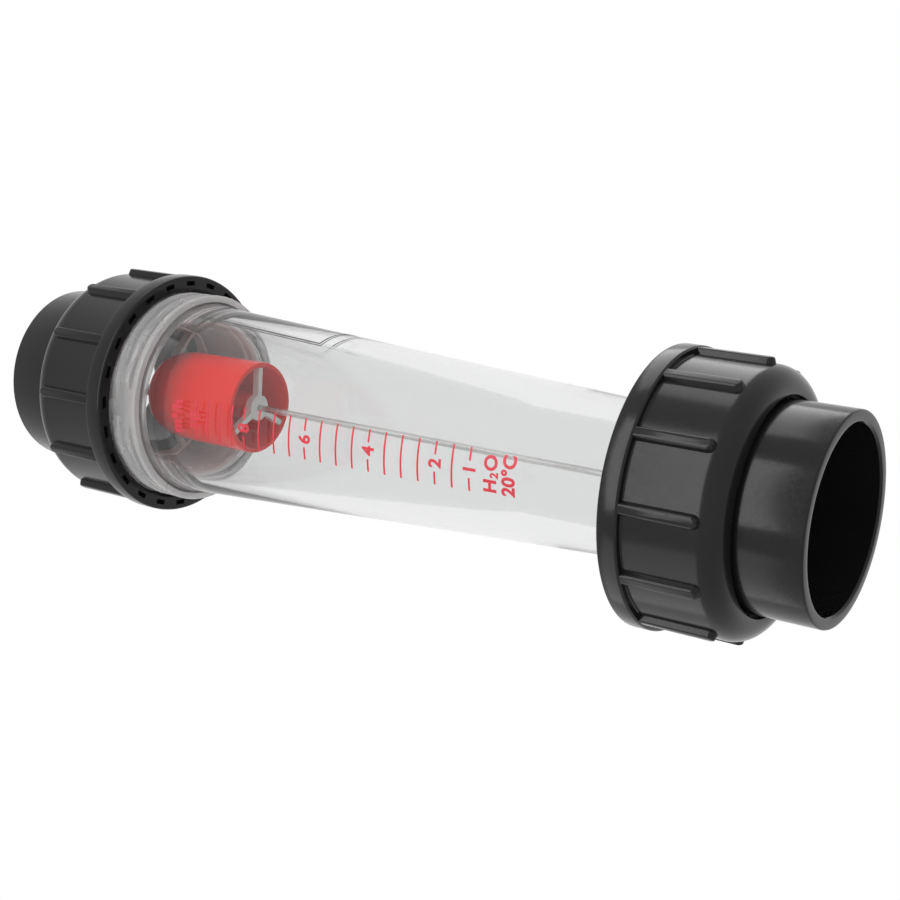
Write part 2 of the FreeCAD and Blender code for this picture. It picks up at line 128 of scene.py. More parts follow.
# Finishes and stage.
CLEAR_IOR = 1.49
NOISE_LOW, NOISE_HIGH = 0.3, 0.7
LAMP_HEIGHT = 0.42
LAMP_AWAY = (1.1, 0, 0.47)
FLOOR_REACH, FLOOR_DROP = 3.0, 0.1 * MM


def length(name, default, description):
    """A length that a user may change."""
    return bpy.props.FloatProperty(
        name=name, description=description, default=default, unit="LENGTH",
        subtype="DISTANCE", precision=5)


def colour(name, default, description):
    """A colour that a user may change."""
    return bpy.props.FloatVectorProperty(
        name=name, description=description, default=default, size=3,
        subtype="COLOR", min=0.0, max=1.0)


class RotameterSizes(bpy.types.PropertyGroup):
    """Sizes of the moulded pieces and of the print."""

    turns: bpy.props.IntProperty(
        name="Steps in a turn", description="Facets round each turned piece",
        default=240, min=24)
    socket_outer: length("Socket radius", 36.0 * MM, "Outside of the cement socket")
    socket_bore: length("Socket bore", 31.65 * MM, "Bore for the pipe")
    socket_depth: length("Socket depth", 37.5 * MM, "Depth of the bore for the pipe")
    flow_bore: length("Way through", 26.5 * MM, "Bore through the web of the socket")
    flange: length("Flange radius", 40.2 * MM, "Collar that the nut pulls on")
    nut_barrel: length("Nut barrel", 46.5 * MM, "Radius of the nut between its ribs")
    nut_collar: length("Nut collar", 49.1 * MM, "Radius of the nut's collar")
    collar_width: length("Collar width", 7.4 * MM, "Length of the nut's collar")
    nut_shoulder: length("Nut shoulder", 8.0 * MM, "Rounding of the nut's shoulder")
    nut_hole: length("Nut hole", 37.2 * MM, "Hole that the hub comes through")
    nut_bore: length("Nut bore", 42.7 * MM, "Bore over the tube's thread")
    rib_top: length("Rib radius", 48.7 * MM, "Radius over the ribs")
    rib_width: length("Rib width", 5.6 * MM, "Width of a rib at its foot")
    rib_rounding: length("Rib rounding", 0.8 * MM, "Rounding along a rib's edges")
    pocket_depth: length("Pocket depth", 2.5 * MM, "Depth of the collar's pockets")
    cone_small: length("Tube at the inlet", 26.66 * MM, "Outside radius of the cone")
    cone_large: length("Tube at the outlet", 38.27 * MM, "Outside radius of the cone")
    throat: length("Throat", 19.4 * MM, "Bore of the tube below the scale")
    bore_wide: length("Wide bore", 34.1 * MM, "Bore of the tube above its taper")
    thread_crest: length("Thread crest", 42.3 * MM, "Radius over the tube's thread")
    thread_root: length("Thread root", 40.9 * MM, "Radius at the root of the thread")
    thread_pitch: length("Thread pitch", 6.0 * MM, "Rise of the thread in one turn")
    float_radius: length("Float radius", 18.5 * MM, "Outside of the float")
    float_wall: length("Float wall", 2.0 * MM, "Wall of the float")
    print_depth: length("Print depth", 0.06 * MM, "Thickness of the print")
    line_width: length("Line width", 0.75 * MM, "Width of a mark of the scale")
    first_mark: length("First mark", 124.95 * MM, "Height of the mark for one")
    mark_step: length("Step", 14.06 * MM, "From one unit to the next, up to eight")
    upper_step: length("Upper step", 11.65 * MM, "From one unit to the next, past eight")
    figure_height: length("Figure height", 5.0 * MM, "Height of a number")


class RotameterColours(bpy.types.PropertyGroup):
    """Colours of the finishes."""

    nut: colour("Nut plastic", (0.009, 0.009, 0.0095), "Union nuts")
    socket: colour("Socket plastic", (0.008, 0.008, 0.0085), "Cement sockets")
    clear: colour("Clear plastic", (0.83, 0.835, 0.835), "Measuring tube")
    rim: colour("Rim", (0.80, 0.80, 0.80), "Dull rim of the measuring tube")
    red: colour("Float plastic", (0.88, 0.012, 0.003), "Float")
    print_red: colour("Print", (0.50, 0.012, 0.03), "Scale and figures")
    frame_black: colour("Frame", (0.03, 0.03, 0.03), "Lines round the label's place")
    white: colour("White plastic", (0.84, 0.83, 0.80), "Stops and bushes")
    steel: colour("Stainless steel", (0.60, 0.60, 0.59), "Rod and its fastenings")
    rubber: colour("Rubber", (0.018, 0.018, 0.018), "Gaskets and buffers")
    floor: colour("Floor", (0.86, 0.86, 0.86), "Studio floor")


def sizes():
    """The sizes as set in the scene."""
    return bpy.context.scene.rotameter_sizes


def colours():
    """The colours as set in the scene."""
    return bpy.context.scene.rotameter_colours


# Materials.


def new_material(name):
    """A node material, with its shader node."""
    material = bpy.data.materials.new(name)
    material.use_nodes = True
    return material, material.node_tree.nodes["Principled BSDF"]


def add_noise(material, scale, detail, stretch=(1, 1, 1)):
    """Noise on the piece's own coordinates, in metres."""
    tree = material.node_tree
    place = tree.nodes.new("ShaderNodeTexCoord")
    mapping = tree.nodes.new("ShaderNodeMapping")
    mapping.inputs["Scale"].default_value = stretch
    noise = tree.nodes.new("ShaderNodeTexNoise")
    noise.inputs["Scale"].default_value = scale
    noise.inputs["Detail"].default_value = detail
    tree.links.new(place.outputs["Object"], mapping.inputs["Vector"])
    tree.links.new(mapping.outputs["Vector"], noise.inputs["Vector"])
    return noise


def vary(material, source, target, low, high):
    """Let a noise move a socket between two values."""
    tree = material.node_tree
    spread = tree.nodes.new("ShaderNodeMapRange")
    spread.inputs["From Min"].default_value = NOISE_LOW
    spread.inputs["From Max"].default_value = NOISE_HIGH
    spread.inputs["To Min"].default_value = low
    spread.inputs["To Max"].default_value = high
    tree.links.new(source.outputs["Fac"], spread.inputs["Value"])
    tree.links.new(spread.outputs["Result"], target)


def tint(material, source, shader, dark, light):
    """Colour that drifts between two tones by a noise."""
    tree = material.node_tree
    ramp = tree.nodes.new("ShaderNodeValToRGB")
    ramp.color_ramp.elements[0].position = 0.35
    ramp.color_ramp.elements[1].position = 0.65
    ramp.color_ramp.elements[0].color = (*dark, 1)
    ramp.color_ramp.elements[1].color = (*light, 1)
    tree.links.new(source.outputs["Fac"], ramp.inputs["Fac"])
    tree.links.new(ramp.outputs["Color"], shader.inputs["Base Color"])


def add_bump(material, source, shader, strength, distance):
    """Fine relief from a noise."""
    tree = material.node_tree
    bump = tree.nodes.new("ShaderNodeBump")
    bump.inputs["Strength"].default_value = strength
    bump.inputs["Distance"].default_value = distance
    tree.links.new(source.outputs["Fac"], bump.inputs["Height"])
    tree.links.new(bump.outputs["Normal"], shader.inputs["Normal"])


def scaled(values, factor):
    """A colour made lighter or darker."""
    return tuple(min(1.0, v * factor) for v in values)


def moulded_plastic(name, base, roughness, grain):
    """Dark moulded plastic: a faint flow of tone, soft gloss and a fine grain."""
    material, shader = new_material(name)
    flow = add_noise(material, 18, 3, (1, 1, 0.4))
    tint(material, flow, shader, scaled(base, 0.88), scaled(base, 1.14))
    fine = add_noise(material, 900, 2)
    vary(material, fine, shader.inputs["Roughness"], roughness - 0.04, roughness + 0.05)
    add_bump(material, fine, shader, grain, 0.00006)
    shader.inputs["Specular IOR Level"].default_value = 0.2
    return material


def white_plastic(name, base):
    """White moulded plastic with a soft gloss."""
    material, shader = new_material(name)
    flow = add_noise(material, 60, 2)
    tint(material, flow, shader, scaled(base, 0.95), scaled(base, 1.03))
    vary(material, flow, shader.inputs["Roughness"], 0.28, 0.38)
    return material


def let_lamps_through(material, shader, tone):
    """Lamps reach what is behind a clear piece, dimmed by its tone."""
    tree = material.node_tree
    path = tree.nodes.new("ShaderNodeLightPath")
    passing = tree.nodes.new("ShaderNodeBsdfTransparent")
    passing.inputs["Color"].default_value = (*tone, 1)
    mix = tree.nodes.new("ShaderNodeMixShader")
    output = tree.nodes["Material Output"]
    tree.links.new(path.outputs["Is Shadow Ray"], mix.inputs["Fac"])
    tree.links.new(shader.outputs["BSDF"], mix.inputs[1])
    tree.links.new(passing.outputs["BSDF"], mix.inputs[2])
    tree.links.new(mix.outputs["Shader"], output.inputs["Surface"])


def darken_edges(material, shader, middle, edge):
    """A clear wall looks greyer where the eye meets it edge on."""
    tree = material.node_tree
    facing = tree.nodes.new("ShaderNodeLayerWeight")
    facing.inputs["Blend"].default_value = 0.25
    mix = tree.nodes.new("ShaderNodeMix")
    mix.data_type = "RGBA"
    mix.inputs["A"].default_value = (*middle, 1)
    mix.inputs["B"].default_value = (*edge, 1)
    tree.links.new(facing.outputs["Facing"], mix.inputs["Factor"])
    tree.links.new(mix.outputs["Result"], shader.inputs["Base Color"])


def clear_plastic(name, base):
    """Polished clear plastic."""
    material, shader = new_material(name)
    darken_edges(material, shader, base, scaled(base, 0.93))
    shader.inputs["Transmission Weight"].default_value = 1.0
    shader.inputs["IOR"].default_value = CLEAR_IOR
    drift = add_noise(material, 30, 2, (1, 1, 0.3))
    vary(material, drift, shader.inputs["Roughness"], 0.0, 0.02)
    let_lamps_through(material, shader, (0.9, 0.9, 0.9))
    return material


def dull_plastic(name, base):
    """Clear plastic left dull by its mould, so that it looks pale on a dark ground."""
    material, shader = new_material(name)
    cloud = add_noise(material, 60, 2)
    tint(material, cloud, shader, scaled(base, 0.94), scaled(base, 1.04))
    vary(material, cloud, shader.inputs["Roughness"], 0.22, 0.3)
    shader.inputs["Transmission Weight"].default_value = 0.45
    shader.inputs["IOR"].default_value = CLEAR_IOR
    let_lamps_through(material, shader, (0.8, 0.8, 0.8))
    return material


def red_plastic(name, base):
    """Glossy red plastic that glows a little where light comes through its wall."""
    material, shader = new_material(name)
    flow = add_noise(material, 40, 2, (1, 1, 0.5))
    tint(material, flow, shader, scaled(base, 0.93), scaled(base, 1.06))
    vary(material, flow, shader.inputs["Roughness"], 0.12, 0.2)
    shader.inputs["Subsurface Weight"].default_value = 0.35
    shader.inputs["Subsurface Radius"].default_value = (0.006, 0.0008, 0.0004)
    shader.inputs["Subsurface Scale"].default_value = 1.0
    shader.inputs["Specular IOR Level"].default_value = 0.18
    return material


def turned_steel(name, base):
    """Drawn stainless steel with fine lines along its length."""
    material, shader = new_material(name)
    shader.inputs["Metallic"].default_value = 1.0
    lines = add_noise(material, 900, 2, (1, 1, 0.02))
    tint(material, lines, shader, scaled(base, 0.85), scaled(base, 1.1))
    vary(material, lines, shader.inputs["Roughness"], 0.2, 0.34)
    return material


def soft_rubber(name, base):
    """Matt black rubber."""
    material, shader = new_material(name)
    bloom = add_noise(material, 200, 3)
    tint(material, bloom, shader, scaled(base, 0.8), scaled(base, 1.5))
    vary(material, bloom, shader.inputs["Roughness"], 0.55, 0.75)
    return material


def ink(name, base):
    """Screen-printed ink."""
    material, shader = new_material(name)
    cover = add_noise(material, 1500, 2)
    tint(material, cover, shader, scaled(base, 0.9), scaled(base, 1.1))
    vary(material, cover, shader.inputs["Roughness"], 0.4, 0.5)
    return material


# Shaping.


def draw_outline(bm, corners):
    """Closed wire in the XZ plane. A corner is (radius, height) or has a rounding too."""
    verts = [bm.verts.new((corner[0], 0, corner[1])) for corner in corners]
    for here, there in zip(verts, verts[1:] + verts[:1]):
        bm.edges.new((here, there))
    for vert, corner in zip(verts, corners):
        if len(corner) == 3:
            bmesh.ops.bevel(bm, geom=[vert], offset=corner[2], affect="VERTICES",
                            segments=3 + round(corner[2] / MM),
                            profile=0.5, material=-1)


def turn_outline(bm, steps):
    """Turn the wire in the XZ plane about Z into a closed solid."""
    bmesh.ops.spin(bm, geom=bm.verts[:] + bm.edges[:], cent=(0, 0, 0), axis=(0, 0, 1),
                   angle=math.tau, steps=steps, use_merge=True, use_duplicate=False)
    bmesh.ops.remove_doubles(bm, verts=bm.verts[:], dist=1e-7)
    bmesh.ops.recalc_face_normals(bm, faces=bm.faces[:])


def turned(corners, steps=None):
    """bmesh of a turned piece."""
    bm = bmesh.new()
    draw_outline(bm, corners)
    turn_outline(bm, steps or sizes().turns)
    return bm


def turn_about_axis(bm, degrees):
    """Turn a bmesh about Z."""
    bmesh.ops.rotate(bm, verts=bm.verts[:], cent=(0, 0, 0),
                     matrix=Matrix.Rotation(math.radians(degrees), 3, "Z"))


def repeat_about_axis(bm, geom, count):
    """Copies of part of a bmesh at even steps round Z."""
    bmesh.ops.spin(bm, geom=geom, cent=(0, 0, 0), axis=(0, 0, 1),
                   angle=math.tau * (count - 1) / count, steps=count - 1, use_duplicate=True)


def turn_over(bm):
    """Move an inlet piece to the outlet, facing the other way."""
    bmesh.ops.rotate(bm, verts=bm.verts[:], cent=(0, 0, LENGTH / 2),
                     matrix=Matrix.Rotation(math.pi, 3, "X"))


def add_box(bm, low, high):
    """Box between two corners."""
    made = bmesh.ops.create_cube(bm, size=1.0)["verts"]
    low, high = Vector(low), Vector(high)
    bmesh.ops.scale(bm, verts=made, vec=high - low)
    bmesh.ops.translate(bm, verts=made, vec=(low + high) / 2)


def finish_piece(bm, name, body, material, nodes=()):
    """Mesh object from a bmesh, riding on a body in place of its CAD nodes."""
    mesh = bpy.data.meshes.new(name)
    bm.to_mesh(mesh)
    bm.free()
    mesh.shade_smooth()
    mesh.set_sharp_from_angle(angle=math.radians(SHARP_ANGLE))
    mesh.materials.append(material)
    piece = bpy.data.objects.new(name, mesh)
    bpy.context.scene.collection.objects.link(piece)
    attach(piece, body)
    if nodes:
        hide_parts(*nodes)
    return piece


def dress_node(node, material):
    """Give a CAD node its finish."""
    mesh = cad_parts[node].data
    mesh.materials.clear()
    mesh.materials.append(material)


# Pieces.


def socket_shape():
    """Cement socket: bore for the pipe, web, flange and gasket groove."""
    s = sizes()
    groove_floor = SOCKET_FACE - GROOVE_DEPTH
    return turned([
        (s.socket_bore + 0.6 * MM, 0, 0.25 * MM),
        (s.socket_outer, 0, 0.7 * MM),
        (s.socket_outer, FLANGE_BACK),
        (s.flange, FLANGE_BACK, 0.3 * MM),
        (s.flange, SOCKET_FACE, 0.3 * MM),
        (GROOVE_OUTER, SOCKET_FACE),
        (GROOVE_OUTER, groove_floor),
        (GROOVE_INNER, groove_floor),
        (GROOVE_INNER, SOCKET_FACE),
        (s.flow_bore, SOCKET_FACE, 0.5 * MM),
        (s.flow_bore, s.socket_depth, 0.5 * MM),
        (s.socket_bore, s.socket_depth, 0.5 * MM),
        (s.socket_bore, 0.8 * MM),
    ])


def add_rib(bm):
    """One round-ended rib, from the collar to the shoulder."""
    s = sizes()
    half = s.rib_width / 2
    foot = s.nut_barrel - 1 * MM
    tip = NUT_FRONT + s.nut_shoulder - RIB_REACH
    collar = NUT_MOUTH - s.collar_width
    middle = tip + half
    ring = bmesh.ops.create_circle(bm, cap_ends=True, segments=24, radius=half)["verts"]
    bmesh.ops.rotate(bm, verts=ring, cent=(0, 0, 0),
                     matrix=Matrix.Rotation(math.pi / 2, 3, "Y"))
    bmesh.ops.translate(bm, verts=ring, vec=(foot, 0, middle))
    upper = [v for v in ring if v.co.z > middle + TINY]
    for vert in upper:
        vert.co.z = collar + 1 * MM
    face = ring[0].link_faces[0]
    rise = bmesh.ops.extrude_face_region(bm, geom=[face])["geom"]
    top = [v for v in rise if isinstance(v, bmesh.types.BMVert)]
    bmesh.ops.translate(bm, verts=top, vec=(s.rib_top - foot, 0, 0))
    draft = math.tan(math.radians(RIB_DRAFT)) * (s.rib_top - foot)
    for vert in top:
        vert.co.y *= (half - draft) / half
        if vert.co.z < collar:
            vert.co.z = middle - (middle - vert.co.z) * (half - draft) / half
    edges = list({e for v in top for e in v.link_edges if all(w in top for w in e.verts)})
    bmesh.ops.bevel(bm, geom=edges, offset=s.rib_rounding, affect="EDGES", segments=3,
                    profile=0.5, material=-1)


def nut_shape():
    """Union nut: collar, barrel, ribs, round shoulder and the collar's pockets."""
    s = sizes()
    ribs = bmesh.new()
    add_rib(ribs)
    bmesh.ops.recalc_face_normals(ribs, faces=ribs.faces[:])
    repeat_about_axis(ribs, ribs.verts[:] + ribs.edges[:] + ribs.faces[:], RIBS)
    collar = NUT_MOUTH - s.collar_width
    bm = turned([
        (s.nut_hole, NUT_FRONT, 0.5 * MM),
        (s.nut_hole, NUT_LIP, 0.2 * MM),
        (s.flange + 0.4 * MM, NUT_LIP),
        (s.nut_bore, NUT_CONE),
        (s.nut_bore, NUT_MOUTH - 0.8 * MM),
        (s.nut_bore + 0.8 * MM, NUT_MOUTH, 0.25 * MM),
        (POCKET_INNER, NUT_MOUTH),
        (POCKET_OUTER, NUT_MOUTH),
        (s.nut_collar, NUT_MOUTH, 0.9 * MM),
        (s.nut_collar, collar, 0.9 * MM),
        (s.nut_barrel, collar, 0.6 * MM),
        (s.nut_barrel, NUT_FRONT, s.nut_shoulder),
    ])
    sink_pockets(bm, s.pocket_depth)
    joined = bpy.data.meshes.new("ribs")
    ribs.to_mesh(joined)
    ribs.free()
    bm.from_mesh(joined)
    bpy.data.meshes.remove(joined)
    return bm


def sink_pockets(bm, depth):
    """Press a ring of small pockets into the face of the collar."""
    chosen = []
    for face in bm.faces:
        middle = face.calc_center_median()
        radius = math.hypot(middle.x, middle.y)
        if abs(middle.z - NUT_MOUTH) < TINY and POCKET_INNER < radius < POCKET_OUTER:
            place = math.degrees(math.atan2(middle.y, middle.x)) % POCKET_STEP
            if min(place, POCKET_STEP - place) < POCKET_REACH:
                chosen.append(face)
    sunk = bmesh.ops.extrude_face_region(bm, geom=chosen)["geom"]
    floor = [v for v in sunk if isinstance(v, bmesh.types.BMVert)]
    bmesh.ops.translate(bm, verts=floor, vec=(0, 0, -depth))
    bmesh.ops.delete(bm, geom=chosen, context="FACES")


def cone_radius(z):
    """Outside radius of the clear tube's cone at a height."""
    s = sizes()
    share = (z - INLET_RIM) / (OUTLET_RIM - INLET_RIM)
    return s.cone_small + (s.cone_large - s.cone_small) * share


def tube_shape():
    """Clear tube: tapered bore, a threaded rim at each end, a flat on the outlet's."""
    s = sizes()
    recess = STOP_RECESS
    groove = OUTLET_RIM + 2.25 * MM
    thread = groove + 1.7 * MM
    rim = s.thread_crest
    bm = turned([
        (recess, TUBE_LOW, 0.3 * MM),
        (rim, TUBE_LOW, 0.6 * MM),
        (rim, INLET_RIM, 0.6 * MM),
        (s.cone_small, INLET_RIM, 3 * MM),
        (s.cone_large, OUTLET_RIM, 1.4 * MM),
        (rim, OUTLET_RIM, 0.5 * MM),
        (rim, groove, 0.25 * MM),
        (s.thread_root, groove, 0.3 * MM),
        (s.thread_root, thread),
        (rim - 0.1 * MM, thread + 0.5 * MM),
        (rim - 0.1 * MM, TUBE_HIGH, 0.6 * MM),
        (recess, TUBE_HIGH, 0.3 * MM),
        (recess, TUBE_HIGH - RECESS_DEPTH, 0.3 * MM),
        (s.bore_wide, TUBE_HIGH - RECESS_DEPTH, 0.3 * MM),
        (s.bore_wide, OUTLET_RIM),
        (s.bore_wide, THROAT_TOP + TAPER_LENGTH, 4 * MM),
        (s.throat, THROAT_TOP, 4 * MM),
        (s.throat, THROAT_FOOT, 3 * MM),
        (s.bore_wide, FLARE_FOOT, 3 * MM),
        (s.bore_wide, TUBE_LOW + RECESS_DEPTH, 0.3 * MM),
        (recess, TUBE_LOW + RECESS_DEPTH, 0.3 * MM),
    ])
    cut_thread(bm, TUBE_LOW + THREAD_END, INLET_RIM - THREAD_END)
    cut_thread(bm, thread + THREAD_START, TUBE_HIGH - THREAD_END)
    flatten_side(bm, groove, TUBE_HIGH)
    return bm


def cut_thread(bm, low, high):
    """Roll a right-handed thread into a rim between two heights."""
    s = sizes()
    for i in range(int((high - low) / THREAD_SLICE) + 1):
        height = low + i * THREAD_SLICE
        rim_faces = [f for f in bm.faces
                     if f.calc_center_median().to_2d().length > THREAD_ZONE]
        geom = rim_faces + list({e for f in rim_faces for e in f.edges})
        geom += list({v for f in rim_faces for v in f.verts})
        bmesh.ops.bisect_plane(bm, geom=geom, plane_co=(0, 0, height), plane_no=(0, 0, 1))
    for vert in bm.verts:
        radius = vert.co.to_2d().length
        if radius > s.thread_root and low - TINY < vert.co.z < high + TINY:
            turn = math.atan2(vert.co.y, vert.co.x) / math.tau
            phase = ((vert.co.z - low) / s.thread_pitch - turn) % 1.0
            rise = min(1.0, max(0.0, 2.2 - abs(phase - 0.5) * 8))
            ease = min(1.0, (vert.co.z - low) / MM, (high - vert.co.z) / MM)
            depth = (s.thread_crest - s.thread_root) * (1 - rise) * max(0.0, ease)
            factor = (radius - depth) / radius
            vert.co.x *= factor
            vert.co.y *= factor


def flatten_side(bm, low, high):
    """Flat land that interrupts the thread on the side of the scale."""
    limit = -math.sqrt(FLAT_RADIUS ** 2 - FLAT_HALF ** 2)
    for vert in bm.verts:
        if low - TINY < vert.co.z < high + TINY and vert.co.y < limit:
            vert.co.y = limit


def float_shape():
    """Float: a cup open below, round above, with a tube down its middle."""
    s = sizes()
    inner = s.float_radius - s.float_wall
    ceiling = FLOAT_HIGH - FLOAT_CROWN
    boss_foot = FLOAT_LOW + BOSS_SETBACK
    return turned([
        (FLOAT_BORE, boss_foot, 0.3 * MM),
        (BOSS_RADIUS, boss_foot, 0.3 * MM),
        (BOSS_RADIUS, ceiling, 0.5 * MM),
        (inner, ceiling, 1.5 * MM),
        (inner, FLOAT_LOW, 0.4 * MM),
        (s.float_radius, FLOAT_LOW, 0.6 * MM),
        (s.float_radius, FLOAT_HIGH, 3 * MM),
        (FLOAT_BORE, FLOAT_HIGH, 0.3 * MM),
    ], FLOAT_STEPS)


# Print on the cone.


def wrap_on_cone(bm, middle_angle):
    """Bend flat print, drawn in x (round) and z (up) with depth in y, onto the cone."""
    spread = [v.co.x for v in bm.verts]
    low, high = min(spread), max(spread)
    cuts = int((high - low) / MM)
    for i in range(1, cuts + 1):
        geom = bm.verts[:] + bm.edges[:] + bm.faces[:]
        place = low + (high - low) * i / (cuts + 1)
        bmesh.ops.bisect_plane(bm, geom=geom, plane_co=(place, 0, 0), plane_no=(1, 0, 0))
    start = math.radians(middle_angle)
    for vert in bm.verts:
        radius = cone_radius(vert.co.z)
        angle = start + vert.co.x / radius
        reach = radius - vert.co.y
        vert.co.x = reach * math.cos(angle)
        vert.co.y = reach * math.sin(angle)


def add_text(bm, words, height, centre_x, centre_z, stroke):
    """Flat words standing up along z, centred at a place of the print."""
    depth = sizes().print_depth
    curve = bpy.data.curves.new("words", "FONT")
    curve.body = words
    curve.size = height / CAPITALS
    curve.align_x, curve.align_y = "CENTER", "CENTER"
    curve.offset = stroke
    curve.extrude = depth / 2
    curve.resolution_u = 4
    carrier = bpy.data.objects.new("words", curve)
    bpy.context.scene.collection.objects.link(carrier)
    mesh = bpy.data.meshes.new_from_object(
        carrier.evaluated_get(bpy.context.evaluated_depsgraph_get()))
    bpy.data.objects.remove(carrier)
    bpy.data.curves.remove(curve)
    xs = [v.co.x for v in mesh.vertices]
    ys = [v.co.y for v in mesh.vertices]
    middle = Vector(((min(xs) + max(xs)) / 2, (min(ys) + max(ys)) / 2, 0))
    mesh.transform(Matrix.Translation(-middle))
    mesh.transform(Matrix.Rotation(math.pi / 2, 4, "X"))
    mesh.transform(Matrix.Translation((centre_x, -depth / 2 - PRINT_GAP, centre_z)))
    bm.from_mesh(mesh)
    bpy.data.meshes.remove(mesh)


def add_line(bm, left, right, low, high):
    """Flat bar of print."""
    depth = sizes().print_depth
    add_box(bm, (left, -depth - PRINT_GAP, low), (right, -PRINT_GAP, high))


def mark_height(value):
    """Height of a value on the scale: even steps up to eight, closer ones above."""
    s = sizes()
    return s.first_mark + s.mark_step * (min(value, 8) - 1) + s.upper_step * max(0, value - 8)


def scale_shape():
    """Marks at every half unit; numbered marks break round their figure."""
    s = sizes()
    bm = bmesh.new()
    line = s.line_width / 2
    for step in range(2, 21):
        value = step / 2
        z = mark_height(value)
        if value in NUMBERED:
            add_line(bm, -MARK_HALF, -FIGURE_GAP, z - line, z + line)
            add_line(bm, FIGURE_GAP, MARK_HALF, z - line, z + line)
            add_text(bm, f"{value:.0f}", s.figure_height, 0, z, FIGURE_STROKE)
        else:
            add_line(bm, -MARK_HALF, MARK_HALF, z - line, z + line)
    bmesh.ops.remove_doubles(bm, verts=bm.verts[:], dist=1e-8)
    wrap_on_cone(bm, SCALE_SIDE)
    return bm


def words_shape():
    """What the scale is for: water at 20 degrees, in cubic metres an hour."""
    s = sizes()
    bm = bmesh.new()
    size = s.figure_height
    below = s.first_mark - 8.3 * MM
    above = mark_height(10) + 9 * MM
    add_text(bm, "H", size, -4.6 * MM, below, WORD_STROKE)
    add_text(bm, "2", size * 0.62, -0.6 * MM, below - 1.6 * MM, SMALL_STROKE)
    add_text(bm, "O", size, 3.6 * MM, below, WORD_STROKE)
    add_text(bm, "20°C", size, 0, below - 7.1 * MM, WORD_STROKE)
    add_text(bm, "m³/h", size, 0, above, WORD_STROKE)
    bmesh.ops.remove_doubles(bm, verts=bm.verts[:], dist=1e-8)
    wrap_on_cone(bm, SCALE_SIDE)
    return bm


def frame_lines_shape():
    """Two thin rectangles, one in the other, round a bare place for a label."""
    bm = bmesh.new()
    for inset, width in LABEL_LINES:
        left, right = -LABEL_HALF + inset, LABEL_HALF - inset
        bottom, top = LABEL_LOW + inset, LABEL_HIGH - inset
        add_line(bm, left, right, bottom, bottom + width)
        add_line(bm, left, right, top - width, top)
        add_line(bm, left, left + width, bottom + width, top - width)
        add_line(bm, right - width, right, bottom + width, top - width)
    wrap_on_cone(bm, LABEL_SIDE)
    return bm


# Stage.


def add_lamp(name, target, azimuth, width, power):
    """Wide soft box above a point and aimed at it, from an angle round the object."""
    data = bpy.data.lights.new(name, "AREA")
    data.shape = "RECTANGLE"
    data.size, data.size_y = width, LAMP_HEIGHT
    data.energy = power
    lamp = bpy.data.objects.new(name, data)
    bpy.context.scene.collection.objects.link(lamp)
    away = Matrix.Rotation(math.radians(azimuth), 3, "Z") @ Vector(LAMP_AWAY)
    lamp.location = Vector(target) + away
    lamp.rotation_mode = "QUATERNION"
    lamp.rotation_quaternion = (-away).to_track_quat("-Z", "Y")
    return lamp


def spare_tube(lamps):
    """Keep the lamps' glare off the clear tube, which shows the white surround."""
    spared = bpy.data.collections.new("spared_by_lamps")
    spared.objects.link(bpy.data.objects["tube_moulding"])
    spared.collection_objects[0].light_linking.link_state = "EXCLUDE"
    for lamp in lamps:
        lamp.light_linking.receiver_collection = spared


def set_world():
    """White surround to the eye, in gloss and through glass; plain light otherwise."""
    world = bpy.data.worlds.new("studio")
    bpy.context.scene.world = world
    world.use_nodes = True
    tree = world.node_tree
    background = tree.nodes["Background"]
    background.inputs["Color"].default_value = (0.8, 0.8, 0.8, 1)
    white = tree.nodes.new("ShaderNodeBackground")
    white.inputs["Color"].default_value = (1, 1, 1, 1)
    path = tree.nodes.new("ShaderNodeLightPath")
    direct = tree.nodes.new("ShaderNodeMath")
    direct.operation = "MAXIMUM"
    seen = tree.nodes.new("ShaderNodeMath")
    seen.operation = "MAXIMUM"
    mix = tree.nodes.new("ShaderNodeMixShader")
    links = tree.links
    links.new(path.outputs["Is Camera Ray"], direct.inputs[0])
    links.new(path.outputs["Is Transmission Ray"], direct.inputs[1])
    links.new(direct.outputs[0], seen.inputs[0])
    links.new(path.outputs["Is Glossy Ray"], seen.inputs[1])
    links.new(seen.outputs[0], mix.inputs["Fac"])
    links.new(background.outputs[0], mix.inputs[1])
    links.new(white.outputs[0], mix.inputs[2])
    links.new(mix.outputs[0], tree.nodes["World Output"].inputs["Surface"])


def floor_material():
    """Pale floor, open to sight from below."""
    material, shader = new_material("studio_floor")
    shader.inputs["Base Color"].default_value = (*colours().floor, 1)
    shader.inputs["Roughness"].default_value = 0.9
    shader.inputs["Specular IOR Level"].default_value = 0.1
    tree = material.node_tree
    side = tree.nodes.new("ShaderNodeNewGeometry")
    open_side = tree.nodes.new("ShaderNodeBsdfTransparent")
    mix = tree.nodes.new("ShaderNodeMixShader")
    tree.links.new(side.outputs["Backfacing"], mix.inputs["Fac"])
    tree.links.new(shader.outputs["BSDF"], mix.inputs[1])
    tree.links.new(open_side.outputs["BSDF"], mix.inputs[2])
    tree.links.new(mix.outputs["Shader"], tree.nodes["Material Output"].inputs["Surface"])
    return material


def set_camera():
    """Camera low on the scale's side, looking up along the tube."""
    data = bpy.data.cameras.new("camera")
    data.lens = 64
    data.sensor_width = 36
    camera = bpy.data.objects.new("camera", data)
    bpy.context.scene.collection.objects.link(camera)
    right = Vector((0.05544, 0.55962, -0.82690))
    up = Vector((0.97712, 0.13994, 0.16021))
    back = Vector((0.20538, -0.81686, -0.53904))
    turn = Matrix((right, up, back)).transposed().to_4x4()
    camera.matrix_world = Matrix.Translation((0.11997, -0.48538, -0.16710)) @ turn
    bpy.context.scene.camera = camera


# Operators.


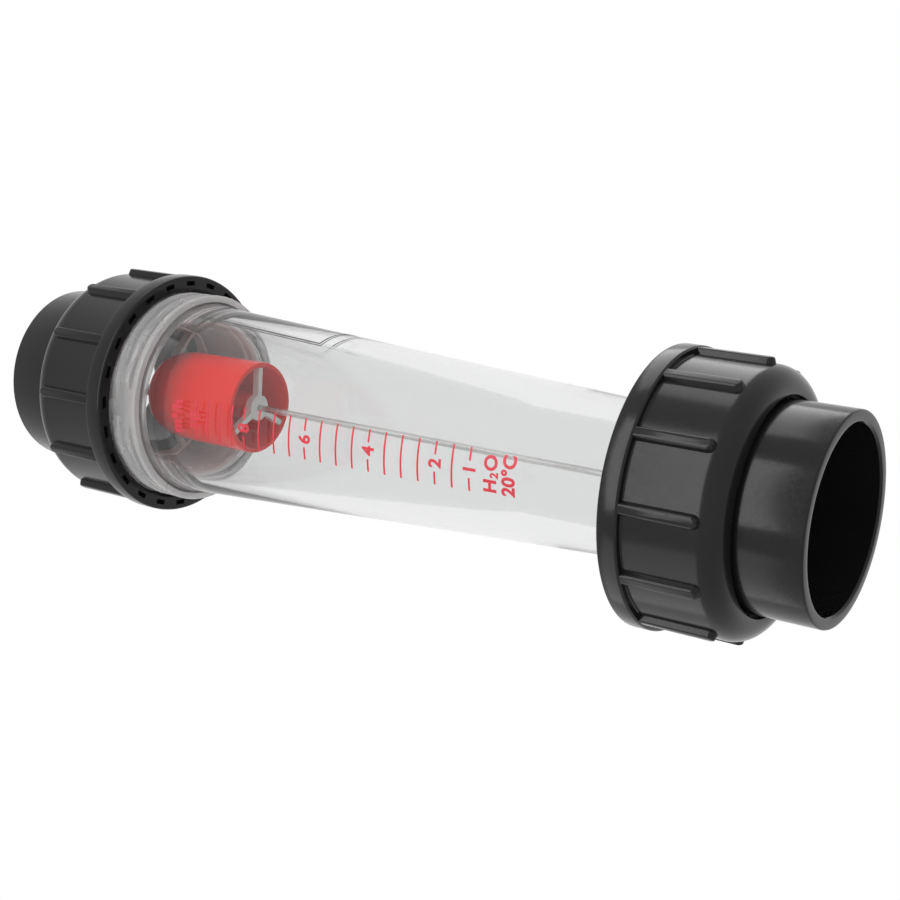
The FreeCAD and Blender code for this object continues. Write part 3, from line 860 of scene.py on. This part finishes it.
class DressSockets(bpy.types.Operator):
    """Cement sockets at both ends"""

    bl_idname = "rotameter.sockets"
    bl_label = "Sockets"

    def execute(self, context):
        plastic = moulded_plastic("socket_plastic", colours().socket, 0.16, 0.02)
        for end in ("inlet", "outlet"):
            bm = socket_shape()
            if end == "outlet":
                turn_over(bm)
            finish_piece(bm, f"{end}_socket_moulding", f"{end}_end",
                         plastic, [f"{end}_socket"])
        return {"FINISHED"}


class DressNuts(bpy.types.Operator):
    """Ribbed union nuts"""

    bl_idname = "rotameter.nuts"
    bl_label = "Union nuts"

    def execute(self, context):
        plastic = moulded_plastic("nut_plastic", colours().nut, 0.18, 0.03)
        for end in ("inlet", "outlet"):
            bm = nut_shape()
            if end == "outlet":
                turn_over(bm)
            turn_about_axis(bm, NUT_TURN)
            finish_piece(bm, f"{end}_nut_moulding", f"{end}_nut",
                         plastic, [f"{end}_union_nut"])
        return {"FINISHED"}


class DressTube(bpy.types.Operator):
    """Clear measuring tube"""

    bl_idname = "rotameter.tube"
    bl_label = "Measuring tube"

    def execute(self, context):
        plastic = clear_plastic("clear_plastic", colours().clear)
        tube = finish_piece(tube_shape(), "tube_moulding", "tube", plastic,
                            ["measuring_tube"])
        tube.data.materials.append(dull_plastic("rim_plastic", colours().rim))
        for face in tube.data.polygons:
            in_outlet_rim = face.center.z > OUTLET_RIM
            on_inlet_rim = (face.center.z < INLET_RIM
                            and face.center.to_2d().length > DULL_RADIUS)
            face.material_index = int(in_outlet_rim or on_inlet_rim)
        return {"FINISHED"}


class DressFloat(bpy.types.Operator):
    """Float with its bushes and ballast"""

    bl_idname = "rotameter.float"
    bl_label = "Float"

    def execute(self, context):
        red = red_plastic("red_plastic", colours().red)
        finish_piece(float_shape(), "float_moulding", "float", red,
                     ["float_shell"])
        dress_node("float_weight", turned_steel("ballast_steel", colours().steel))
        white = white_plastic("bush_plastic", colours().white)
        for node in ("upper_bush", "float_spider"):
            dress_node(node, white)
        return {"FINISHED"}


class DressRod(bpy.types.Operator):
    """Guide rod with its stops, buffers and fastenings"""

    bl_idname = "rotameter.rod"
    bl_label = "Rod and stops"

    def execute(self, context):
        steel = turned_steel("rod_steel", colours().steel)
        for node in ("guide_rod", "rod_washers", "rod_nuts"):
            dress_node(node, steel)
        white = white_plastic("stop_plastic", colours().white)
        rubber = soft_rubber("seal_rubber", colours().rubber)
        for end in ("inlet", "outlet"):
            dress_node(f"{end}_stop", white)
            dress_node(f"{end}_buffer", rubber)
            dress_node(f"{end}_gasket", rubber)
        return {"FINISHED"}


class AddPrint(bpy.types.Operator):
    """Scale, figures and the lines round the label's place"""

    bl_idname = "rotameter.printing"
    bl_label = "Print"

    def execute(self, context):
        red = ink("print_ink", colours().print_red)
        black = ink("frame_ink", colours().frame_black)
        finish_piece(scale_shape(), "scale_marks", "tube", red)
        finish_piece(words_shape(), "scale_words", "tube", red)
        finish_piece(frame_lines_shape(), "label_frame", "tube", black)
        return {"FINISHED"}


class SetStage(bpy.types.Operator):
    """Floor, lamps, world and camera"""

    bl_idname = "rotameter.stage"
    bl_label = "Stage"

    def execute(self, context):
        bm = bmesh.new()
        bmesh.ops.create_grid(bm, x_segments=1, y_segments=1, size=FLOOR_REACH)
        bmesh.ops.translate(bm, verts=bm.verts[:], vec=(0, 0, -FLOOR_DROP))
        mesh = bpy.data.meshes.new("floor")
        bm.to_mesh(mesh)
        bm.free()
        mesh.materials.append(floor_material())
        floor = bpy.data.objects.new("floor", mesh)
        bpy.context.scene.collection.objects.link(floor)
        floor.visible_shadow = False
        floor.visible_glossy = False
        floor.visible_diffuse = False
        set_world()
        near_nut = (0, 0, 40 * MM)
        lamps = [add_lamp("key_lamp", near_nut, -66, 1.55, 10),
                 add_lamp("side_lamp", near_nut, 28, 1.25, 5),
                 add_lamp("low_lamp", near_nut, -156, 1.30, 2.4)]
        spare_tube(lamps)
        set_camera()
        context.scene.view_settings.view_transform = "Standard"
        return {"FINISHED"}


class RotameterPanel(bpy.types.Panel):
    """Lists the rotameter's pieces"""

    bl_idname = "VIEW3D_PT_rotameter"
    bl_label = "Rotameter"
    bl_space_type = "VIEW_3D"
    bl_region_type = "UI"
    bl_category = "Rotameter"

    def draw(self, context):
        for operator in OPERATORS:
            self.layout.operator(operator.bl_idname)


OPERATORS = (DressSockets, DressNuts, DressTube, DressFloat, DressRod, AddPrint, SetStage)
CLASSES = (RotameterSizes, RotameterColours, *OPERATORS, RotameterPanel)


def register():
    """Make the classes and the scene's settings known."""
    for item in CLASSES:
        bpy.utils.register_class(item)
    bpy.types.Scene.rotameter_sizes = bpy.props.PointerProperty(type=RotameterSizes)
    bpy.types.Scene.rotameter_colours = bpy.props.PointerProperty(type=RotameterColours)


def unregister():
    """Take them away again."""
    del bpy.types.Scene.rotameter_colours
    del bpy.types.Scene.rotameter_sizes
    for item in reversed(CLASSES):
        bpy.utils.unregister_class(item)


def main():
    """Make every piece."""
    register()
    bpy.ops.rotameter.sockets()
    bpy.ops.rotameter.nuts()
    bpy.ops.rotameter.tube()
    bpy.ops.rotameter.float()
    bpy.ops.rotameter.rod()
    bpy.ops.rotameter.printing()
    bpy.ops.rotameter.stage()


if __name__ == "__main__":
    main()
